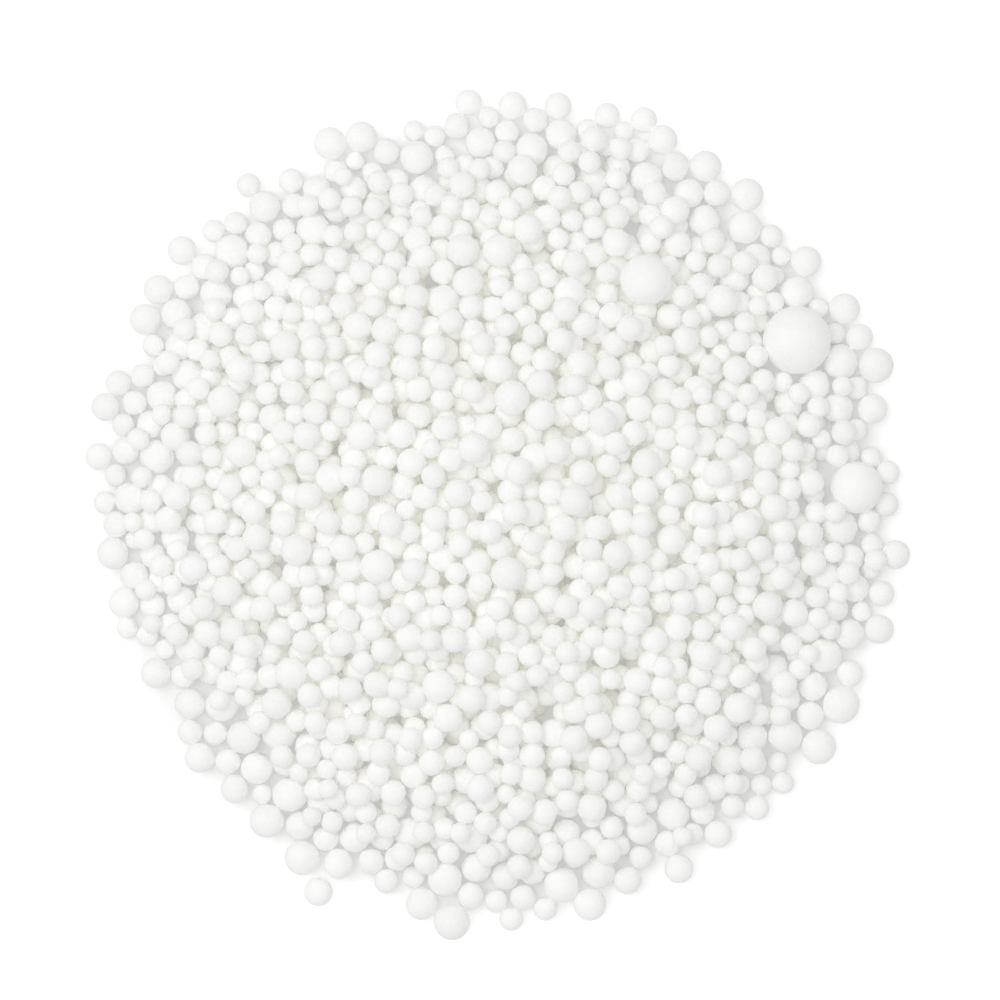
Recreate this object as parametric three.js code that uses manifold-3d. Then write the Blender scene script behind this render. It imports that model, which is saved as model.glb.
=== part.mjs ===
// A heap of loose expanded polystyrene beads, as it lies when it is poured out on a flat surface.
// Millimetres, +Z up. The origin is on that surface, under the middle of the heap's box.
// Each bead is a small foam ball that only touches its neighbours, and the heap is what many such
// balls do when they are poured: one layer packs itself on the surface, and the rest settle in the
// hollows of the beads below them. The beads round the foot of the heap are meshes of their own.
// All the others are joined into one beaded body, because there are far too many to keep apart.

import * as THREE from "three";
import { ConvexHull } from "three/addons/math/ConvexHull.js";
import { mergeVertices } from "three/addons/utils/BufferGeometryUtils.js";
import Module from "manifold-3d";

// Bead diameters. Most beads come out near the common one.
const SMALLEST_BEAD = 2.9;
const COMMON_BEAD = 4.0;
const LARGEST_BEAD = 5.8;

// The edge of the heap seen from above: how far it lies outside or inside this radius, in equal turns
// from +X through +Y.
const HEAP_RADIUS = 62;
const EDGE_SWELLS = [
  -1.7, -1.7, -1.2, 1.3, 1.0, -0.8, 1.3, 0.5,
  1.2, -0.8, -0.2, 0.3, 1.6, -1.2, -0.8, -2.0,
];
const EDGE_RADII = EDGE_SWELLS.map((swell) => HEAP_RADIUS + swell);

// The top of the heap over its middle. The surface falls from there in a parabola to one layer of
// beads at the edge.
const HEAP_HEIGHT = 18;
const EDGE_HEIGHT = 4.6;

// The heap grows in this many levels, from the surface that it lies on to its full height.
const LEVELS = 4;

// Three beads expanded far more than the rest. Each one lands at this place once the heap has grown
// to its level, and level 0 is the bare surface.
const GIANT_NEAR_EDGE = { x: 43.6, y: 25.0, diameter: 10.2, level: 0 };
const GIANT_AT_RIGHT = { x: 52.6, y: 3.0, diameter: 7.8, level: 0 };
const GIANT_ON_SLOPE = { x: 22.0, y: 33.6, diameter: 7.6, level: 2 };

// The last beads roll in from all round and come to rest against the foot of the heap, which leaves
// this much room for them inside the edge.
const RIM_BEADS = 56;
const RIM_BAND = 2.5;

// One bead rolled away and came to rest by itself, with this gap to the heap.
const STRAY_BEAD = { x: -28.2, y: -57.7, diameter: 4.4, gap: 0.8 };

// How many beads are thrown at the heap. Those that find no room don't join it.
const THROWN_AT_FLOOR = 1200;
const THROWN_AT_LEVEL = 6000;

// How a bead finds its place: it moves in ever shorter steps and stops where it gains nothing more.
const STEPS = [1, 0.25, 0.06, 0.015];
const MOST_MOVES = 300;
const PUSHES = 4;
const LEAST_GAIN = 0.004;
const DEEPEST_OVERLAP = 0.004;
// A falling bead drifts this much towards the middle for each millimetre that it drops.
const INWARD_DRIFT = 0.15;

// How finely a bead with a mesh of its own is divided.
const BALL_DETAIL = 1;
// The joined body keeps this far from such a bead where it would otherwise reach into it.
const SEAT_CLEARANCE = 0.3;

// A bead shows in the joined body unless a higher one's centre is nearer, seen from above, than this
// share of their reach. Beads that lie on the floor show more, and one that a rim bead leans on, which
// is no further from it than the slack, always shows.
const HIDDEN_SHARE = 0.9;
const HIDDEN_SHARE_ON_FLOOR = 0.57;
const LEANING_SLACK = 0.05;
// At the edge of the body, beads further apart than this share of their reach aren't joined.
const LONGEST_BRIDGE = 1.6;
// Each bead of the body is a dome with a ring of corners this far down from its top. The ring stays
// within this share of the way to the pits round the bead. The dome is flat inside the ring unless
// the bead lies higher than all those round it.
const RING_ANGLE = THREE.MathUtils.degToRad(48);
const RING_SHARE = 0.75;
// A pit with no bead under it lies at this share of the height of the beads round it.
const OPEN_PIT_SHARE = 0.3;
// The notch between two beads at the edge lies this share of the way from between them to the pit
// behind them.
const NOTCH_DEPTH = 0.25;
// The open side of an edge bead has a corner about every so far, and none this near to its neighbours.
const SIDE_TURN = THREE.MathUtils.degToRad(75);
const SIDE_MARGIN = THREE.MathUtils.degToRad(28);
// An edge bead stands on the floor with this share of its radius.
const FOOT_SHARE = 0.55;

const FOAM = { color: 0xf3f3f0, roughness: 0.6, metalness: 0 };

// Repeatable draws from 0 to 1.
const DRAW_FACTOR = 16807;
const DRAW_MODULUS = 2147483647;
const FIRST_DRAW = 20231;
let drawState = FIRST_DRAW;

function draw() {
  drawState = (drawState * DRAW_FACTOR) % DRAW_MODULUS;
  return drawState / DRAW_MODULUS;
}

// A radius from a triangular spread between the smallest and the largest bead.
function drawRadius() {
  const share = draw();
  const span = LARGEST_BEAD - SMALLEST_BEAD;
  const below = COMMON_BEAD - SMALLEST_BEAD;
  const above = LARGEST_BEAD - COMMON_BEAD;
  if (share * span < below) return (SMALLEST_BEAD + Math.sqrt(share * span * below)) / 2;
  return (LARGEST_BEAD - Math.sqrt((1 - share) * span * above)) / 2;
}

// A direction in the plane. Every direction is as likely as any other.
function drawDirection() {
  for (;;) {
    const x = 2 * draw() - 1;
    const y = 2 * draw() - 1;
    const length = Math.sqrt(x * x + y * y);
    if (length > 0 && length <= 1) return { x: x / length, y: y / length };
  }
}

const fromMiddle = (bead) => Math.sqrt(bead.x * bead.x + bead.y * bead.y);

// Distance of the heap's edge from the middle, in the direction of a point.
function edgeRadius({ x, y }) {
  const count = EDGE_RADII.length;
  const turn = ((Math.atan2(y, x) / (2 * Math.PI) + 1) % 1) * count;
  const at = Math.floor(turn);
  const blend = THREE.MathUtils.smoothstep(turn - at, 0, 1);
  return EDGE_RADII[at % count] * (1 - blend) + EDGE_RADII[(at + 1) % count] * blend;
}

// Height of the heap's top surface over a point, once it has grown to a share of its full height.
function surfaceHeight(point, grown) {
  const out = fromMiddle(point) / edgeRadius(point);
  return EDGE_HEIGHT + (HEAP_HEIGHT - EDGE_HEIGHT) * (1 - out * out) * grown;
}

// The beads that have come to rest, and which of them reach into each square of the plane.
const beads = [];
const squares = new Map();
const SQUARE = LARGEST_BEAD;
const SQUARES_ACROSS = 1000;

function squaresUnder({ x, y, radius }) {
  const found = [];
  for (let i = Math.floor((x - radius) / SQUARE); i <= Math.floor((x + radius) / SQUARE); i++) {
    for (let j = Math.floor((y - radius) / SQUARE); j <= Math.floor((y + radius) / SQUARE); j++) {
      found.push(i * SQUARES_ACROSS + j);
    }
  }
  return found;
}

function keep(bead) {
  beads.push(bead);
  for (const square of squaresUnder(bead)) {
    if (!squares.has(square)) squares.set(square, []);
    squares.get(square).push(bead);
  }
}

// Pushes a bead out of those at rest, straight away from each one. A bead that rolls on the floor is
// only pushed sideways. Returns the deepest overlap that it found.
function pushOut(bead, onFloor) {
  let deepest = 0;
  for (const square of squaresUnder(bead)) {
    for (const other of squares.get(square) ?? []) {
      const x = bead.x - other.x;
      const y = bead.y - other.y;
      const z = bead.z - other.z;
      const apart = bead.radius + other.radius;
      const reach = onFloor ? Math.sqrt(Math.max(apart * apart - z * z, 0)) : apart;
      const distance = Math.sqrt(x * x + y * y + (onFloor ? 0 : z * z));
      if (distance >= reach) continue;
      const longer = reach / distance;
      bead.x = other.x + x * longer;
      bead.y = other.y + y * longer;
      if (!onFloor) bead.z = Math.max(other.z + z * longer, bead.radius);
      deepest = Math.max(deepest, reach - distance);
    }
  }
  return deepest;
}

// Lets a bead fall and drift inwards until it lies still.
function settle(bead, fall, drift) {
  const height = () => fall * bead.z + drift * fromMiddle(bead);
  for (const step of STEPS) {
    for (let move = 0; move < MOST_MOVES; move++) {
      const { x, y, z } = bead;
      const before = height();
      const out = fromMiddle(bead);
      const inwards = out > step * drift ? (step * drift) / out : 1;
      bead.x -= bead.x * inwards;
      bead.y -= bead.y * inwards;
      bead.z = Math.max(bead.z - step * fall, bead.radius);
      let overlap = 0;
      for (let push = 0; push < PUSHES; push++) {
        overlap = pushOut(bead, fall === 0);
        if (overlap === 0) break;
      }
      if (overlap > DEEPEST_OVERLAP || before - height() < step * LEAST_GAIN) {
        Object.assign(bead, { x, y, z });
        break;
      }
    }
  }
  return bead;
}

// A bead rolls in along the floor from outside the heap.
function rollIn(direction, radius) {
  const start = Math.max(...EDGE_RADII) + LARGEST_BEAD;
  return settle({ x: direction.x * start, y: direction.y * start, z: radius, radius }, 0, 1);
}

const isInside = (bead) => fromMiddle(bead) + bead.radius <= edgeRadius(bead) - RIM_BAND;

function pourFloorLayer() {
  for (let thrown = 0; thrown < THROWN_AT_FLOOR; thrown++) {
    const bead = rollIn(drawDirection(), drawRadius());
    if (isInside(bead)) keep(bead);
  }
}

function pourLevel(grown) {
  const widest = Math.max(...EDGE_RADII);
  for (let thrown = 0; thrown < THROWN_AT_LEVEL; thrown++) {
    const bead = { x: (2 * draw() - 1) * widest, y: (2 * draw() - 1) * widest, radius: drawRadius() };
    bead.z = surfaceHeight(bead, grown) - bead.radius;
    if (bead.z < bead.radius || !isInside(bead)) continue;
    if (pushOut({ ...bead }, false) > 0) continue;
    settle(bead, 1, INWARD_DRIFT);
    if (isInside(bead) && bead.z + bead.radius <= surfaceHeight(bead, grown)) keep(bead);
  }
}

function dropGiants(level) {
  const giants = [GIANT_NEAR_EDGE, GIANT_AT_RIGHT, GIANT_ON_SLOPE].filter((giant) => giant.level === level);
  for (const { x, y, diameter } of giants) {
    keep(settle({ x, y, z: HEAP_HEIGHT + diameter, radius: diameter / 2 }, 1, 0));
  }
}

function pourHeap() {
  dropGiants(0);
  pourFloorLayer();
  for (let level = 1; level <= LEVELS; level++) {
    pourLevel(level / LEVELS);
    dropGiants(level);
  }
}

// The rim beads, in order round the heap from +X through +Y.
function addRim(radii) {
  return radii.map((radius, place) => {
    const turn = (2 * Math.PI * place) / radii.length;
    const bead = rollIn({ x: Math.cos(turn), y: Math.sin(turn) }, radius);
    keep(bead);
    return bead;
  });
}

// The stray bead rolls in until it is its gap away from the heap, and lies there on the floor.
function placeStray() {
  const { x, y, diameter, gap } = STRAY_BEAD;
  const out = fromMiddle({ x, y });
  const held = rollIn({ x: x / out, y: y / out }, diameter / 2 + gap);
  return { x: held.x, y: held.y, z: diameter / 2, radius: diameter / 2 };
}

const rimRadii = Array.from({ length: RIM_BEADS }, drawRadius);
pourHeap();
const heapBeads = [...beads];
const rimBeads = addRim(rimRadii);
const strayBead = placeStray();

const flatDistance = (a, b) => Math.hypot(a.x - b.x, a.y - b.y);
const directionTo = (from, to) => Math.atan2(to.y - from.y, to.x - from.x);
const turnBetween = (start, end) => (((end - start) % (2 * Math.PI)) + 2 * Math.PI) % (2 * Math.PI);

const gapBetween = (a, b) => Math.hypot(a.x - b.x, a.y - b.y, a.z - b.z) - a.radius - b.radius;

// The beads that show from above.
function isHidden(bead) {
  if (rimBeads.some((rimBead) => gapBetween(bead, rimBead) < LEANING_SLACK)) return false;
  return heapBeads.some((other) => {
    const share = bead.z > bead.radius ? HIDDEN_SHARE : HIDDEN_SHARE_ON_FLOOR;
    return other.z > bead.z && flatDistance(bead, other) < share * (bead.radius + other.radius);
  });
}
const shown = heapBeads.filter((bead) => !isHidden(bead));

function isSummit(bead) {
  return !heapBeads.some((other) => other.z > bead.z && flatDistance(bead, other) < bead.radius + other.radius);
}

// A net of triangles between neighbouring beads, seen from above. net.get(a).get(b) is the third bead
// of the triangle that lies to the left of the way from a to b.
// The lower side of the hull round the points, lifted to a bowl, has the same triangles.
function netBetween(found) {
  const size = Math.max(...EDGE_RADII);
  const lifted = new Map();
  for (const bead of found) {
    const x = bead.x / size;
    const y = bead.y / size;
    lifted.set(new THREE.Vector3(x, y, x * x + y * y), bead);
  }
  const net = new Map(found.map((bead) => [bead, new Map()]));
  for (const face of new ConvexHull().setFromPoints([...lifted.keys()]).faces) {
    if (face.normal.z >= 0) continue;
    const [c, b, a] = [0, 1, 2].map((corner) => lifted.get(face.getEdge(corner).head().point));
    addTriangle(net, a, b, c);
  }
  return net;
}

function addTriangle(net, a, b, c) {
  net.get(a).set(b, c);
  net.get(b).set(c, a);
  net.get(c).set(a, b);
}

function removeTriangle(net, a, b, c) {
  net.get(a).delete(b);
  net.get(b).delete(c);
  net.get(c).delete(a);
}

// The next bead along the edge of the net, going round anticlockwise, or undefined inside it.
function nextAtEdge(net, bead) {
  return [...net.get(bead).keys()].find((other) => !net.get(other).has(bead));
}

// Takes away triangles at the edge of the net that join beads too far apart, and keeps its edge one
// simple loop.
function trimNet(net) {
  let trimmed = true;
  while (trimmed) {
    trimmed = false;
    for (const [a, others] of net) {
      for (const [b, c] of [...others]) {
        const atEdge = !net.get(b).has(a);
        const tooLong = flatDistance(a, b) > LONGEST_BRIDGE * (a.radius + b.radius);
        if (!atEdge || !tooLong || nextAtEdge(net, c)) continue;
        removeTriangle(net, a, b, c);
        trimmed = true;
      }
    }
  }
}

// The neighbours of a bead in the net, in order to the left. At the edge of the net the first is the
// next bead along the edge, and the last is the one before it.
function neighboursOf(net, bead) {
  const first = nextAtEdge(net, bead) ?? net.get(bead).keys().next().value;
  const found = [first];
  for (;;) {
    const last = net.get(bead).get(found.at(-1));
    if (last === undefined || last === first) return found;
    found.push(last);
  }
}

const net = netBetween(shown);
trimNet(net);

// The joined body's corners and triangles.
const corners = [];
const triangles = [];

function addCorner(x, y, z) {
  corners.push(x, y, z);
  return corners.length / 3 - 1;
}

const cornerAt = (index) => new THREE.Vector3().fromArray(corners, 3 * index);

// Height of the real beads' top over a point, or of the floor where none lies there.
function topOver(x, y) {
  let top = 0;
  for (const bead of heapBeads) {
    const rise = bead.radius ** 2 - (x - bead.x) ** 2 - (y - bead.y) ** 2;
    if (rise > 0) top = Math.max(top, bead.z + Math.sqrt(rise));
  }
  return top;
}

// Each triangle of the net has a pit in it, nearer to its smaller beads and as deep as the real one.
const pits = new Map();

function pitBetween(a, b, c) {
  const around = [a, b, c];
  for (const bead of around) {
    if (!pits.has(bead)) pits.set(bead, new Map());
  }
  if (!pits.get(a).has(b)) {
    const sum = around.reduce((total, bead) => total + 1 / bead.radius, 0);
    const x = around.reduce((total, bead) => total + bead.x / bead.radius / sum, 0);
    const y = around.reduce((total, bead) => total + bead.y / bead.radius / sum, 0);
    const height = around.reduce((total, bead) => total + bead.z, 0) / around.length;
    const pit = addCorner(x, y, Math.max(topOver(x, y), OPEN_PIT_SHARE * height));
    pits.get(a).set(b, pit);
    pits.get(b).set(c, pit);
    pits.get(c).set(a, pit);
  }
  return pits.get(a).get(b);
}

// Each two beads along the edge of the net have a notch between them.
const notches = new Map();

function notchAfter(bead) {
  if (!notches.has(bead)) {
    const next = nextAtEdge(net, bead);
    const share = bead.radius / (bead.radius + next.radius);
    const pit = cornerAt(pitBetween(bead, next, net.get(bead).get(next)));
    const between = new THREE.Vector3(bead.x, bead.y, 0).lerp(new THREE.Vector3(next.x, next.y, 0), share);
    between.lerp(pit, NOTCH_DEPTH);
    notches.set(bead, addCorner(between.x, between.y, Math.min(bead.z, next.z)));
  }
  return notches.get(bead);
}

// How far round from another bead's direction the two balls meet, seen from above.
function meetingAngle(bead, other) {
  const apart = flatDistance(bead, other);
  const cosine = (apart ** 2 + bead.radius ** 2 - other.radius ** 2) / (2 * apart * bead.radius);
  return Math.acos(THREE.MathUtils.clamp(cosine, -1, 1));
}

// The corners round the open side of a bead at the edge, from the bead before it to the one after it.
const sides = new Map();

function openSide(bead, before, after) {
  const wholeTurn = turnBetween(directionTo(bead, before), directionTo(bead, after));
  const start = meetingAngle(bead, before) + SIDE_MARGIN;
  const end = wholeTurn - meetingAngle(bead, after) - SIDE_MARGIN;
  const gaps = Math.max(Math.round((end - start) / SIDE_TURN), 0);
  const side = [];
  for (let i = 0; i <= gaps; i++) {
    const turn = gaps === 0 ? (start + end) / 2 : start + ((end - start) * i) / gaps;
    const angle = directionTo(bead, before) + turn;
    const out = new THREE.Vector3(Math.cos(angle), Math.sin(angle), 0).setLength(bead.radius);
    side.push(addCorner(bead.x + out.x, bead.y + out.y, bead.z));
  }
  sides.set(bead, side);
  return side;
}

// A dome: a ring of corners down its ball, and the pits, notches and open side round it.
function addDome(bead) {
  const around = neighboursOf(net, bead);
  const rimCorners = [];
  const atEdge = nextAtEdge(net, bead) !== undefined;
  const before = around.at(-1);
  if (atEdge) rimCorners.push(notchAfter(bead));
  for (const [i, other] of around.entries()) {
    const next = around[(i + 1) % around.length];
    if (!atEdge || i + 1 < around.length) rimCorners.push(pitBetween(bead, other, next));
  }
  if (atEdge) rimCorners.push(notchAfter(before), ...openSide(bead, before, around[0]));
  const ring = rimCorners.map((index) => {
    const out = cornerAt(index).sub(bead).setZ(0);
    const reach = Math.min(bead.radius * Math.sin(RING_ANGLE), RING_SHARE * out.length());
    out.setLength(reach);
    return addCorner(bead.x + out.x, bead.y + out.y, bead.z + Math.sqrt(bead.radius ** 2 - reach ** 2));
  });
  const top = isSummit(bead) ? addCorner(bead.x, bead.y, bead.z + bead.radius) : ring[0];
  for (let i = 0; i < ring.length; i++) {
    const j = (i + 1) % ring.length;
    if (top !== ring[i] && top !== ring[j]) triangles.push([top, ring[i], ring[j]]);
    triangles.push([ring[i], rimCorners[i], rimCorners[j]]);
    triangles.push([ring[i], rimCorners[j], ring[j]]);
  }
}

// The side of the body, from its widest loop in to its foot, and the flat underside.
function addSide() {
  const loop = [];
  const foot = [];
  const first = shown.find((bead) => net.has(bead) && nextAtEdge(net, bead));
  let bead = first;
  do {
    for (const index of sides.get(bead)) {
      const corner = cornerAt(index).sub(bead).multiplyScalar(FOOT_SHARE).add(bead);
      loop.push(index);
      foot.push(addCorner(corner.x, corner.y, 0));
    }
    const notch = cornerAt(notches.get(bead));
    loop.push(notches.get(bead));
    foot.push(addCorner(notch.x, notch.y, 0));
    bead = nextAtEdge(net, bead);
  } while (bead !== first);
  for (let i = 0; i < loop.length; i++) {
    const j = (i + 1) % loop.length;
    triangles.push([foot[i], foot[j], loop[j]]);
    triangles.push([foot[i], loop[j], loop[i]]);
  }
  const outline = foot.map((index) => new THREE.Vector2(corners[3 * index], corners[3 * index + 1]));
  for (const [a, b, c] of THREE.ShapeUtils.triangulateShape(outline, [])) {
    triangles.push([foot[c], foot[b], foot[a]]);
  }
}

for (const bead of net.keys()) addDome(bead);
addSide();

const wasm = await Module();
wasm.setup();

function solidOf(geometry) {
  const bare = new THREE.BufferGeometry().setAttribute("position", geometry.getAttribute("position"));
  const merged = mergeVertices(bare.setIndex(geometry.getIndex()));
  const mesh = new wasm.Mesh({
    numProp: 3,
    vertProperties: new Float32Array(merged.getAttribute("position").array),
    triVerts: new Uint32Array(merged.getIndex().array),
  });
  return new wasm.Manifold(mesh);
}

const ballGeometry = (radius) => new THREE.IcosahedronGeometry(radius, BALL_DETAIL);
const ballSolid = (bead, radius) => solidOf(ballGeometry(radius).translate(bead.x, bead.y, bead.z));

// The body, with room for the beads round it that would otherwise reach into it.
function heapGeometry() {
  const whole = new THREE.BufferGeometry();
  whole.setAttribute("position", new THREE.Float32BufferAttribute(corners, 3));
  whole.setIndex(triangles.flat());
  let solid = solidOf(whole);
  for (const bead of rimBeads) {
    const reachesIn = solid.intersect(ballSolid(bead, bead.radius)).volume() > 0;
    if (reachesIn) solid = solid.subtract(ballSolid(bead, bead.radius + SEAT_CLEARANCE));
  }
  const mesh = solid.getMesh();
  const geometry = new THREE.BufferGeometry();
  geometry.setAttribute("position", new THREE.Float32BufferAttribute(mesh.vertProperties, 3));
  geometry.setIndex(new THREE.Uint32BufferAttribute(mesh.triVerts, 1));
  return geometry;
}

// Loose beads and the joined body are the same white foam.
function addMesh(group, name, geometry, place) {
  const mesh = new THREE.Mesh(geometry, new THREE.MeshStandardMaterial(FOAM));
  mesh.name = name;
  mesh.position.copy(place);
  group.add(mesh);
}

const heap = new THREE.Group();
addMesh(heap, "bead_heap", heapGeometry(), new THREE.Vector3());
for (const [i, bead] of rimBeads.entries()) {
  addMesh(heap, `rim_bead_${String(i + 1).padStart(2, "0")}`, ballGeometry(bead.radius), bead);
}
addMesh(heap, "stray_bead", ballGeometry(strayBead.radius), strayBead);

// The origin is under the middle of the heap's box.
const middle = new THREE.Box3().setFromObject(heap).getCenter(new THREE.Vector3());
heap.position.set(-middle.x, -middle.y, 0);

export default heap;
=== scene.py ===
# A round heap of loose white expanded polystyrene beads, seen from straight above.
# Metres, apart from the pouring of the beads, which is in millimetres as in the part's source.
import math
import random

import bpy
from mathutils import Euler, Matrix, Vector


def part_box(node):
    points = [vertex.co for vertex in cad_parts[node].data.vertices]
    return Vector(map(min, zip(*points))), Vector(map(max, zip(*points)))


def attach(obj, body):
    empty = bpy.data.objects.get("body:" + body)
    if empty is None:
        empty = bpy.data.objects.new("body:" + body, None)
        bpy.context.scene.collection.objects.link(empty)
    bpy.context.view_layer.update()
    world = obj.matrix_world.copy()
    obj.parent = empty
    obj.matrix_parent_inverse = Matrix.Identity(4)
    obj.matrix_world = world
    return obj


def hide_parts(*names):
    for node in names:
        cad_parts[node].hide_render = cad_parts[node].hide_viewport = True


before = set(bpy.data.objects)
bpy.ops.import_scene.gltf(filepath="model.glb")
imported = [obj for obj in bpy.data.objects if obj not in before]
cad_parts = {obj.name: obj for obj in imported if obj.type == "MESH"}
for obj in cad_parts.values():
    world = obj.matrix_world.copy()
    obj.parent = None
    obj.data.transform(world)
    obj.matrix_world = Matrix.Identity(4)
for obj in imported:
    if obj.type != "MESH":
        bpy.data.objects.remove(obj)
bpy.ops.object.select_all(action="DESELECT")
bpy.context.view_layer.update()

MM = 0.001
WHITE = (1, 1, 1, 1)
BLACK = (0, 0, 0, 1)

# The pouring of the beads. Its values are those of the part's source.
SMALLEST_BEAD = 2.9
COMMON_BEAD = 4.0
LARGEST_BEAD = 5.8
HEAP_RADIUS = 62
EDGE_SWELLS = [
    -1.7, -1.7, -1.2, 1.3, 1.0, -0.8, 1.3, 0.5,
    1.2, -0.8, -0.2, 0.3, 1.6, -1.2, -0.8, -2.0,
]
EDGE_RADII = [HEAP_RADIUS + swell for swell in EDGE_SWELLS]
HEAP_HEIGHT = 18
EDGE_HEIGHT = 4.6
LEVELS = 4
# Place, diameter and level of each bead that expanded far more than the rest.
GIANT_BEADS = [(43.6, 25.0, 10.2, 0), (52.6, 3.0, 7.8, 0), (22.0, 33.6, 7.6, 2)]
GIANT_RADII = [diameter / 2 for _, _, diameter, _ in GIANT_BEADS]
RIM_BEADS = 56
RIM_BAND = 2.5
THROWN_AT_FLOOR = 1200
THROWN_AT_LEVEL = 6000
STEPS = [1, 0.25, 0.06, 0.015]
MOST_MOVES = 300
PUSHES = 4
LEAST_GAIN = 0.004
DEEPEST_OVERLAP = 0.004
INWARD_DRIFT = 0.15
DRAW_FACTOR = 16807
DRAW_MODULUS = 2147483647
FIRST_DRAW = 20231

# A bead of the heap is a cube divided this many times along each edge and blown up to a ball. The
# loose beads round the heap and the giant ones are finer.
COARSE_CUTS = 2
FINE_CUTS = 6
BEAD_SEED = 11

# Shapes of bead: how far each is drawn out along its own three axes, and how deep its dimple is.
BEAD_SHAPES = [
    ((1.0, 1.0, 1.0), 0.0),
    ((1.02, 0.99, 0.99), 0.0),
    ((0.985, 1.0, 1.015), 0.03),
    ((1.035, 0.985, 0.98), 0.0),
    ((1.0, 1.0, 1.0), 0.05),
]
DIMPLE_EDGE = 0.9
DIMPLE_REACH = 0.75

# The pieces that the heap's beads make up, and the heights that part them, in millimetres. A bead
# that lies within FLOOR_SLACK of the floor is a floor bead.
LAYERS = ["floor_beads", "lower_beads", "middle_beads", "top_beads", "giant_beads"]
FLOOR_SLACK = 0.01
LOWER_TOP = 6.5
MIDDLE_TOP = 10.5

# How bright a bead is goes from 0, for the dullest, to 1. Most beads are near this.
USUAL_TONE = 0.6

# One bead that shows near the middle of the heap is brighter and longer than the rest.
BRIGHT_BEAD = (-12.4, -5.4)
BRIGHT_STRETCH = (1.12, 0.97, 0.97)
BRIGHT_TURN = 0.5
BRIGHT_TONE = 1.3

# The foam: the colours of its dullest and its brightest beads, and how much of the way between
# them its cells and lumps make up. Then a faint painted glow, which stands for the light that
# comes through the foam from the beads behind and lifts the shade in the hollows between the
# beads. Then the width and depth of its cells and of its lumps, and how rough a cell is in its
# middle and at its edge.
DULL_FOAM = (0.93, 0.929, 0.914, 1)
BRIGHT_FOAM = (0.992, 0.992, 0.983, 1)
MOTTLING = 1.1
PAINTED_GLOW = 0.037
PAINTED_GLOW_COLOUR = (1, 1, 0.98, 1)
CELL_SIZE = 0.28 * MM
CELL_DEPTH = 0.055 * MM
LUMP_SIZE = 1.6 * MM
LUMP_DEPTH = 0.08 * MM
LUMP_DETAIL = 3.0
CELL_ROUGHNESS = 0.5
EDGE_ROUGHNESS = 0.75

# The photograph: where the middle of the heap lies in it, in millimetres right of and below the
# middle of the picture, and the width of what it shows at the height of the beads round the rim.
HEAP_RIGHT = -0.375
HEAP_BELOW = 2.1
PHOTO_WIDTH = 150 * MM
RIM_HEIGHT = 2.2 * MM
CAMERA_HEIGHT = 750 * MM
SENSOR_WIDTH = 36

# The light. The world and the lamp together light a flat white sheet to a little under 1.
SKY = 0.72
KEY_PLACE = (-0.22, 0.09, 0.6)
KEY_SIZE = 0.4
KEY_POWER = 1.08
LIGHT_BOUNCES = 48

# The floor. It glows so that it shows white round the heap, a painted light over the beads' shadow
# there, and glows less under the heap, so that it shows darker where it shows between beads:
# painted shade.
FLOOR_COLOUR = (0.8, 0.8, 0.8, 1)
GLOW_STARTS = 57 * MM
GLOW_IS_FULL = 64 * MM
GLOW_DIMMED_AS_PAINTED_SHADE = 0.2
GLOW_ROUND_HEAP = 0.45
FLOOR_SIZE = 3


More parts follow.
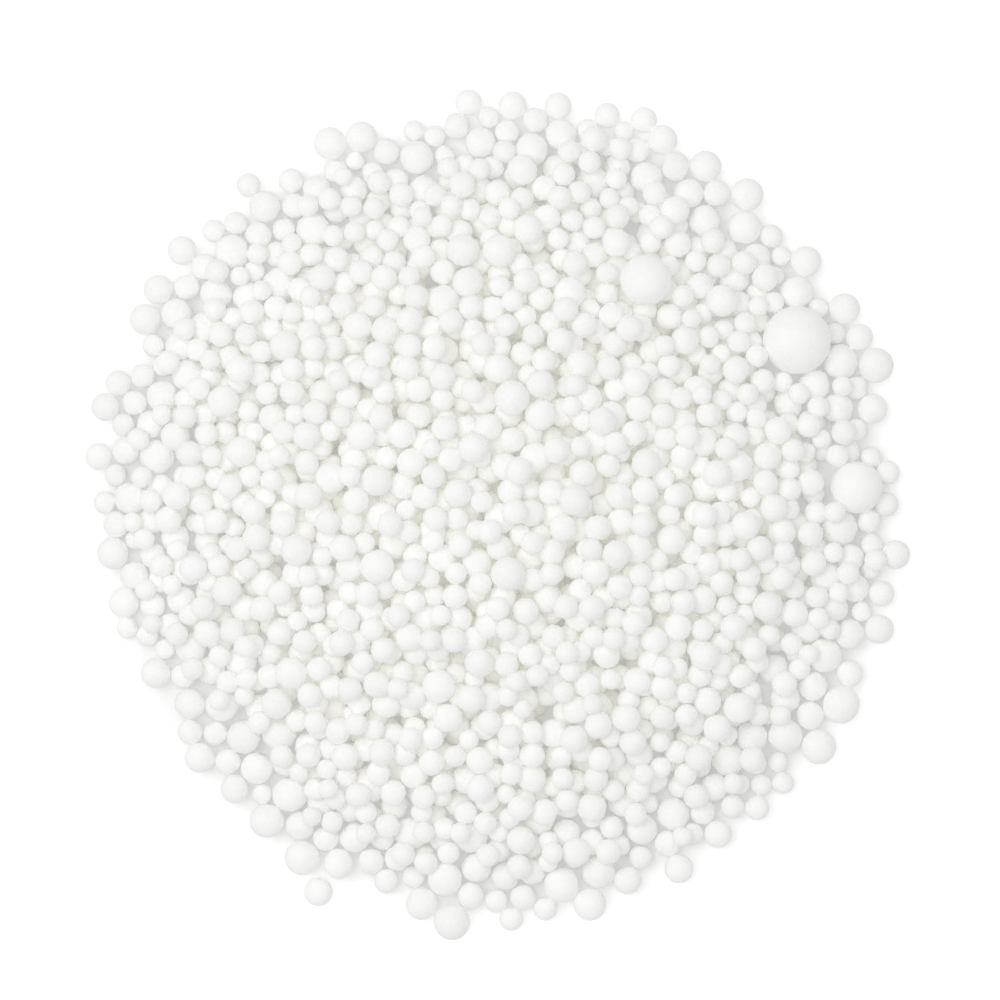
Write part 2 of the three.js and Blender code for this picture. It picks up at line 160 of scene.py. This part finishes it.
class Pouring:
    """The beads of the heap, poured as in the part's source. A bead is [x, y, z, radius]."""

    def __init__(self):
        self.state = FIRST_DRAW
        self.beads = []
        self.squares = {}
        self.near = {}
        self.widest = max(EDGE_RADII)

    def draw(self):
        self.state = self.state * DRAW_FACTOR % DRAW_MODULUS
        return self.state / DRAW_MODULUS

    def draw_radius(self):
        share = self.draw()
        span = LARGEST_BEAD - SMALLEST_BEAD
        below = COMMON_BEAD - SMALLEST_BEAD
        above = LARGEST_BEAD - COMMON_BEAD
        if share * span < below:
            return (SMALLEST_BEAD + math.sqrt(share * span * below)) / 2
        return (LARGEST_BEAD - math.sqrt((1 - share) * span * above)) / 2

    def draw_direction(self):
        while True:
            x = 2 * self.draw() - 1
            y = 2 * self.draw() - 1
            length = math.sqrt(x * x + y * y)
            if 0 < length <= 1:
                return x / length, y / length

    def edge_radius(self, bead):
        count = len(EDGE_RADII)
        turn = (math.atan2(bead[1], bead[0]) / (2 * math.pi) + 1) % 1 * count
        at = math.floor(turn)
        blend = turn - at
        blend = blend * blend * (3 - 2 * blend)
        return EDGE_RADII[at % count] * (1 - blend) + EDGE_RADII[(at + 1) % count] * blend

    def surface_height(self, bead, grown):
        out = from_middle(bead) / self.edge_radius(bead)
        return EDGE_HEIGHT + (HEAP_HEIGHT - EDGE_HEIGHT) * (1 - out * out) * grown

    def is_inside(self, bead):
        return from_middle(bead) + bead[3] <= self.edge_radius(bead) - RIM_BAND

    def keep(self, bead):
        self.beads.append(bead)
        self.near.clear()
        left, right, front, back = squares_under(bead)
        for i in range(left, right + 1):
            for j in range(front, back + 1):
                self.squares.setdefault((i, j), []).append(tuple(bead))

    def beads_near(self, reach):
        if reach not in self.near:
            left, right, front, back = reach
            self.near[reach] = [
                other
                for i in range(left, right + 1)
                for j in range(front, back + 1)
                for other in self.squares.get((i, j), ())
            ]
        return self.near[reach]

    def push_out(self, bead, on_floor):
        """Pushes a bead out of those at rest, and gives the deepest overlap that it found."""
        deepest = 0
        bx, by, bz, radius = bead
        for ox, oy, oz, other_radius in self.beads_near(squares_under(bead)):
            x = bx - ox
            y = by - oy
            z = bz - oz
            reach = radius + other_radius
            if on_floor:
                reach = math.sqrt(max(reach * reach - z * z, 0))
                distance = math.sqrt(x * x + y * y)
            else:
                distance = math.sqrt(x * x + y * y + z * z)
            if distance >= reach:
                continue
            longer = reach / distance
            bx = ox + x * longer
            by = oy + y * longer
            if not on_floor:
                bz = max(oz + z * longer, radius)
            deepest = max(deepest, reach - distance)
        bead[:3] = bx, by, bz
        return deepest

    def settle(self, bead, fall, drift):
        """Lets a bead fall and drift inwards until it lies still."""
        for step in STEPS:
            for _ in range(MOST_MOVES):
                x, y, z, radius = bead
                out = from_middle(bead)
                before = fall * z + drift * out
                inwards = step * drift / out if out > step * drift else 1
                bead[0] -= x * inwards
                bead[1] -= y * inwards
                bead[2] = max(z - step * fall, radius)
                overlap = 0
                for _ in range(PUSHES):
                    overlap = self.push_out(bead, fall == 0)
                    if overlap == 0:
                        break
                gain = before - (fall * bead[2] + drift * from_middle(bead))
                if overlap > DEEPEST_OVERLAP or gain < step * LEAST_GAIN:
                    bead[:3] = x, y, z
                    break
        return bead

    def roll_in(self, direction, radius):
        start = self.widest + LARGEST_BEAD
        return self.settle([direction[0] * start, direction[1] * start, radius, radius], 0, 1)

    def pour_floor_layer(self):
        for _ in range(THROWN_AT_FLOOR):
            direction = self.draw_direction()
            bead = self.roll_in(direction, self.draw_radius())
            if self.is_inside(bead):
                self.keep(bead)

    def pour_level(self, grown):
        for _ in range(THROWN_AT_LEVEL):
            x = (2 * self.draw() - 1) * self.widest
            y = (2 * self.draw() - 1) * self.widest
            bead = [x, y, 0, self.draw_radius()]
            bead[2] = self.surface_height(bead, grown) - bead[3]
            if bead[2] < bead[3] or not self.is_inside(bead):
                continue
            if self.push_out(list(bead), False) > 0:
                continue
            self.settle(bead, 1, INWARD_DRIFT)
            if self.is_inside(bead) and bead[2] + bead[3] <= self.surface_height(bead, grown):
                self.keep(bead)

    def drop_giants(self, level):
        for x, y, diameter, at_level in GIANT_BEADS:
            if at_level == level:
                self.keep(self.settle([x, y, HEAP_HEIGHT + diameter, diameter / 2], 1, 0))

    def pour(self):
        """Pours the heap. Gives the place of the first bead that rolls in to its rim."""
        rim_radii = [self.draw_radius() for _ in range(RIM_BEADS)]
        self.drop_giants(0)
        self.pour_floor_layer()
        for level in range(1, LEVELS + 1):
            self.pour_level(level / LEVELS)
            self.drop_giants(level)
        return Vector(self.roll_in((1, 0), rim_radii[0])[:3])


def from_middle(bead):
    return math.sqrt(bead[0] * bead[0] + bead[1] * bead[1])


def from_bright_spot(bead):
    return math.hypot(bead[0] - BRIGHT_BEAD[0], bead[1] - BRIGHT_BEAD[1])


def squares_under(bead):
    """The first and last square of the plane that a bead reaches into, along X and along Y."""
    x, y, _, radius = bead
    return (
        math.floor((x - radius) / LARGEST_BEAD),
        math.floor((x + radius) / LARGEST_BEAD),
        math.floor((y - radius) / LARGEST_BEAD),
        math.floor((y + radius) / LARGEST_BEAD),
    )


def layer_of(bead):
    """The piece that a bead of the heap belongs to."""
    _, _, z, radius = bead
    if radius in GIANT_RADII:
        return "giant_beads"
    if z <= radius + FLOOR_SLACK:
        return "floor_beads"
    if z <= LOWER_TOP:
        return "lower_beads"
    if z <= MIDDLE_TOP:
        return "middle_beads"
    return "top_beads"


def model_bead(cuts, stretch, dimple):
    """A bead of radius 1 round the origin: a cube blown up to a ball, dimpled and drawn out."""
    bpy.ops.mesh.primitive_cube_add(size=1)
    bead = bpy.context.object
    bpy.ops.object.mode_set(mode="EDIT")
    bpy.ops.mesh.subdivide(number_cuts=cuts)
    bpy.ops.object.mode_set(mode="OBJECT")
    ball = bead.modifiers.new("ball", "CAST")
    ball.use_radius_as_size = False
    ball.size = 1
    ball.factor = 1
    bpy.ops.object.modifier_apply(modifier=ball.name)
    highest = max(face.center.z for face in bead.data.polygons)
    for face in bead.data.polygons:
        face.select = face.center.z > DIMPLE_EDGE * highest
    bpy.ops.object.mode_set(mode="EDIT")
    bpy.ops.transform.translate(
        value=(0, 0, -dimple),
        use_proportional_edit=True,
        proportional_size=DIMPLE_REACH,
        proportional_edit_falloff="SMOOTH",
    )
    bpy.ops.mesh.select_all(action="SELECT")
    bpy.ops.transform.resize(value=stretch)
    bpy.ops.object.mode_set(mode="OBJECT")
    bpy.ops.object.shade_smooth()
    bead.data.attributes.new("tone", "FLOAT", "POINT")
    bead.data.materials.append(foam)
    return bead


def copy_bead(model, place, radius, turn, tone):
    """A copy of a modelled bead with a mesh of its own, which holds its size, turn and place."""
    bead = model.copy()
    bead.data = model.data.copy()
    bpy.context.collection.objects.link(bead)
    turned = turn.to_matrix().to_4x4() @ Matrix.Scale(radius, 4)
    bead.data.transform(Matrix.Translation(place) @ turned)
    bead.data.attributes["tone"].data.foreach_set("value", [tone] * len(bead.data.vertices))
    return bead


def any_turn():
    return Euler([chance.uniform(0, 2 * math.pi) for _ in range(3)])


def any_tone():
    return chance.triangular(0, 1, USUAL_TONE)


def finish_piece(beads, name, node):
    """Joins beads into one piece that stands for a node of the CAD model."""
    bpy.ops.object.select_all(action="DESELECT")
    for bead in beads:
        bead.select_set(True)
    piece = beads[0]
    bpy.context.view_layer.objects.active = piece
    if len(beads) > 1:
        bpy.ops.object.join()
    piece.name = name
    piece.data.name = name
    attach(piece, "root")
    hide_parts(node)


class Value:
    """A node's output. Sums, differences and products of it add Math nodes."""

    def __init__(self, tree, socket):
        self.tree = tree
        self.socket = socket

    def math(self, operation, first, second):
        inputs = {"Value": first, "Value_001": second}
        return add_node(self.tree, "ShaderNodeMath", {"operation": operation}, inputs)["Value"]

    def __add__(self, other):
        return self.math("ADD", self, other)

    def __radd__(self, other):
        return self.math("ADD", other, self)

    def __sub__(self, other):
        return self.math("SUBTRACT", self, other)

    def __rsub__(self, other):
        return self.math("SUBTRACT", other, self)

    def __mul__(self, other):
        return self.math("MULTIPLY", self, other)

    def __rmul__(self, other):
        return self.math("MULTIPLY", other, self)

    def larger_of(self, other):
        return self.math("MAXIMUM", self, other)


def add_node(tree, kind, settings, inputs):
    """Adds a node, with its settings first and then the values or links of its sockets.

    Sockets go by their identifiers, because some nodes have several sockets of one name.
    """
    node = tree.nodes.new(kind)
    for name, value in settings.items():
        setattr(node, name, value)
    sockets = {socket.identifier: socket for socket in node.inputs}
    for name, value in inputs.items():
        if isinstance(value, Value):
            tree.links.new(value.socket, sockets[name])
        else:
            sockets[name].default_value = value
    return {socket.identifier: Value(tree, socket) for socket in node.outputs}


def mix_colours(tree, share, first, second):
    """The first colour where the share is 0, the second where it is 1, and a blend between."""
    inputs = {"Factor_Float": share, "A_Color": first, "B_Color": second}
    return add_node(tree, "ShaderNodeMix", {"data_type": "RGBA"}, inputs)["Result_Color"]


def place_on_piece(tree):
    return add_node(tree, "ShaderNodeTexCoord", {}, {})["Object"]


def start_tree(holder):
    """The empty node tree of a new material or world."""
    holder.use_nodes = True
    holder.node_tree.nodes.clear()
    return holder.node_tree


def rays_that_see(tree):
    """1 for the rays that show a white background, in the camera, in gloss and through glass."""
    rays = add_node(tree, "ShaderNodeLightPath", {}, {})
    seen = rays["Is Camera Ray"].larger_of(rays["Is Glossy Ray"])
    return seen.larger_of(rays["Is Transmission Ray"])


def make_foam():
    material = bpy.data.materials.new("foam")
    tree = start_tree(material)
    place = place_on_piece(tree)
    tone = add_node(tree, "ShaderNodeAttribute", {"attribute_name": "tone"}, {})["Fac"]
    # 0 in the middle of each cell and about 1 at its edge.
    cells = add_node(
        tree, "ShaderNodeTexVoronoi", {}, {"Vector": place, "Scale": 1 / CELL_SIZE}
    )["Distance"]
    lumps = add_node(
        tree,
        "ShaderNodeTexNoise",
        {},
        {"Vector": place, "Scale": 1 / LUMP_SIZE, "Detail": LUMP_DETAIL},
    )["Fac"]
    swells = add_node(
        tree, "ShaderNodeBump", {}, {"Distance": LUMP_DEPTH, "Height": lumps}
    )["Normal"]
    normal = add_node(
        tree,
        "ShaderNodeBump",
        {"invert": True},
        {"Distance": CELL_DEPTH, "Height": cells, "Normal": swells},
    )["Normal"]
    shade = tone + MOTTLING * (lumps - cells)
    surface = add_node(
        tree,
        "ShaderNodeBsdfPrincipled",
        {},
        {
            "Base Color": mix_colours(tree, shade, DULL_FOAM, BRIGHT_FOAM),
            "Roughness": CELL_ROUGHNESS + (EDGE_ROUGHNESS - CELL_ROUGHNESS) * cells,
            "Normal": normal,
            # Painted glow: the foam gives off a faint light of its own, which lifts the shade
            # between the beads.
            "Emission Color": PAINTED_GLOW_COLOUR,
            "Emission Strength": PAINTED_GLOW,
        },
    )["BSDF"]
    add_node(tree, "ShaderNodeOutputMaterial", {}, {"Surface": surface})
    return material


def make_floor():
    material = bpy.data.materials.new("floor")
    tree = start_tree(material)
    diffuse = add_node(tree, "ShaderNodeBsdfDiffuse", {}, {"Color": FLOOR_COLOUR})["BSDF"]
    from_centre = add_node(
        tree, "ShaderNodeVectorMath", {"operation": "LENGTH"}, {"Vector": place_on_piece(tree)}
    )["Value"]
    # Painted shade: the glow is dimmed within the heap's outline, so the floor shows darker
    # between the beads, and is full round the heap, over the beads' shadow.
    backdrop_glow_and_painted_shade = add_node(
        tree,
        "ShaderNodeMapRange",
        {},
        {
            "Value": from_centre,
            "From Min": GLOW_STARTS,
            "From Max": GLOW_IS_FULL,
            "To Min": GLOW_DIMMED_AS_PAINTED_SHADE,
            "To Max": GLOW_ROUND_HEAP,
        },
    )["Result"]
    colour = mix_colours(tree, backdrop_glow_and_painted_shade * rays_that_see(tree), BLACK, WHITE)
    emission = add_node(tree, "ShaderNodeEmission", {}, {"Color": colour})["Emission"]
    both = add_node(
        tree, "ShaderNodeAddShader", {}, {"Shader": diffuse, "Shader_001": emission}
    )["Shader"]
    add_node(tree, "ShaderNodeOutputMaterial", {}, {"Surface": both})
    bpy.ops.mesh.primitive_plane_add(size=FLOOR_SIZE)
    floor = bpy.context.object
    floor.name = "floor"
    floor.data.materials.append(material)


def light_scene():
    scene = bpy.context.scene
    scene.view_settings.view_transform = "Standard"
    # White foam passes light on many times before it is lost between the beads.
    scene.cycles.max_bounces = LIGHT_BOUNCES
    scene.cycles.diffuse_bounces = LIGHT_BOUNCES
    scene.world = bpy.data.worlds.new("studio")
    tree = start_tree(scene.world)
    strength = SKY + (1 - SKY) * rays_that_see(tree)
    background = add_node(
        tree, "ShaderNodeBackground", {}, {"Color": WHITE, "Strength": strength}
    )["Background"]
    add_node(tree, "ShaderNodeOutputWorld", {}, {"Surface": background})
    # A square soft lamp, which shines at the middle of the heap.
    lamp = bpy.data.lights.new("key", "AREA")
    lamp.size = KEY_SIZE
    lamp.energy = KEY_POWER
    holder = bpy.data.objects.new("key", lamp)
    holder.location = KEY_PLACE
    holder.rotation_euler = Vector(KEY_PLACE).to_track_quat("Z", "Y").to_euler()
    bpy.context.collection.objects.link(holder)


def add_camera():
    """Looks straight down, with +Y at the top of the picture."""
    camera = bpy.data.cameras.new("camera")
    camera.sensor_width = SENSOR_WIDTH
    camera.lens = SENSOR_WIDTH * CAMERA_HEIGHT / PHOTO_WIDTH
    holder = bpy.data.objects.new("camera", camera)
    holder.location = (-HEAP_RIGHT * MM, HEAP_BELOW * MM, RIM_HEIGHT + CAMERA_HEIGHT)
    bpy.context.collection.objects.link(holder)
    bpy.context.scene.camera = holder


add_camera()
light_scene()
make_floor()
foam = make_foam()
chance = random.Random(BEAD_SEED)

coarse_models = [model_bead(COARSE_CUTS, *shape) for shape in BEAD_SHAPES]
fine_models = [model_bead(FINE_CUTS, *shape) for shape in BEAD_SHAPES]
long_model = model_bead(FINE_CUTS, BRIGHT_STRETCH, 0)

# The beads are poured round a middle of their own, and the frame tells where that is.
pouring = Pouring()
first_rim_bead = pouring.pour()
shift = sum(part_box("rim_bead_01"), Vector()) / 2 - first_rim_bead * MM

showing = [bead for bead in pouring.beads if from_bright_spot(bead) < LARGEST_BEAD]
bright_bead = max(showing, key=lambda bead: bead[2] - from_bright_spot(bead))

layers = {name: [] for name in LAYERS}
for bead in pouring.beads:
    *place, radius = bead
    layer = layer_of(bead)
    model = chance.choice(coarse_models)
    turn = any_turn()
    tone = any_tone()
    if layer == "giant_beads":
        model = fine_models[0]
    if bead is bright_bead:
        model = long_model
        turn = Euler((0, 0, BRIGHT_TURN))
        tone = BRIGHT_TONE
    layers[layer].append(copy_bead(model, shift + Vector(place) * MM, radius * MM, turn, tone))
for name, layer_beads in layers.items():
    finish_piece(layer_beads, name, "bead_heap")

# Each bead round the rim, and the one that lies by itself, is a finer ball in its node's place.
for node in [f"rim_bead_{count:02d}" for count in range(1, RIM_BEADS + 1)] + ["stray_bead"]:
    low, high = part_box(node)
    model = chance.choice(fine_models)
    ball = copy_bead(model, (low + high) / 2, (high.x - low.x) / 2, any_turn(), any_tone())
    finish_piece([ball], node.replace("bead", "ball"), node)

for model in coarse_models + fine_models + [long_model]:
    bpy.data.objects.remove(model)
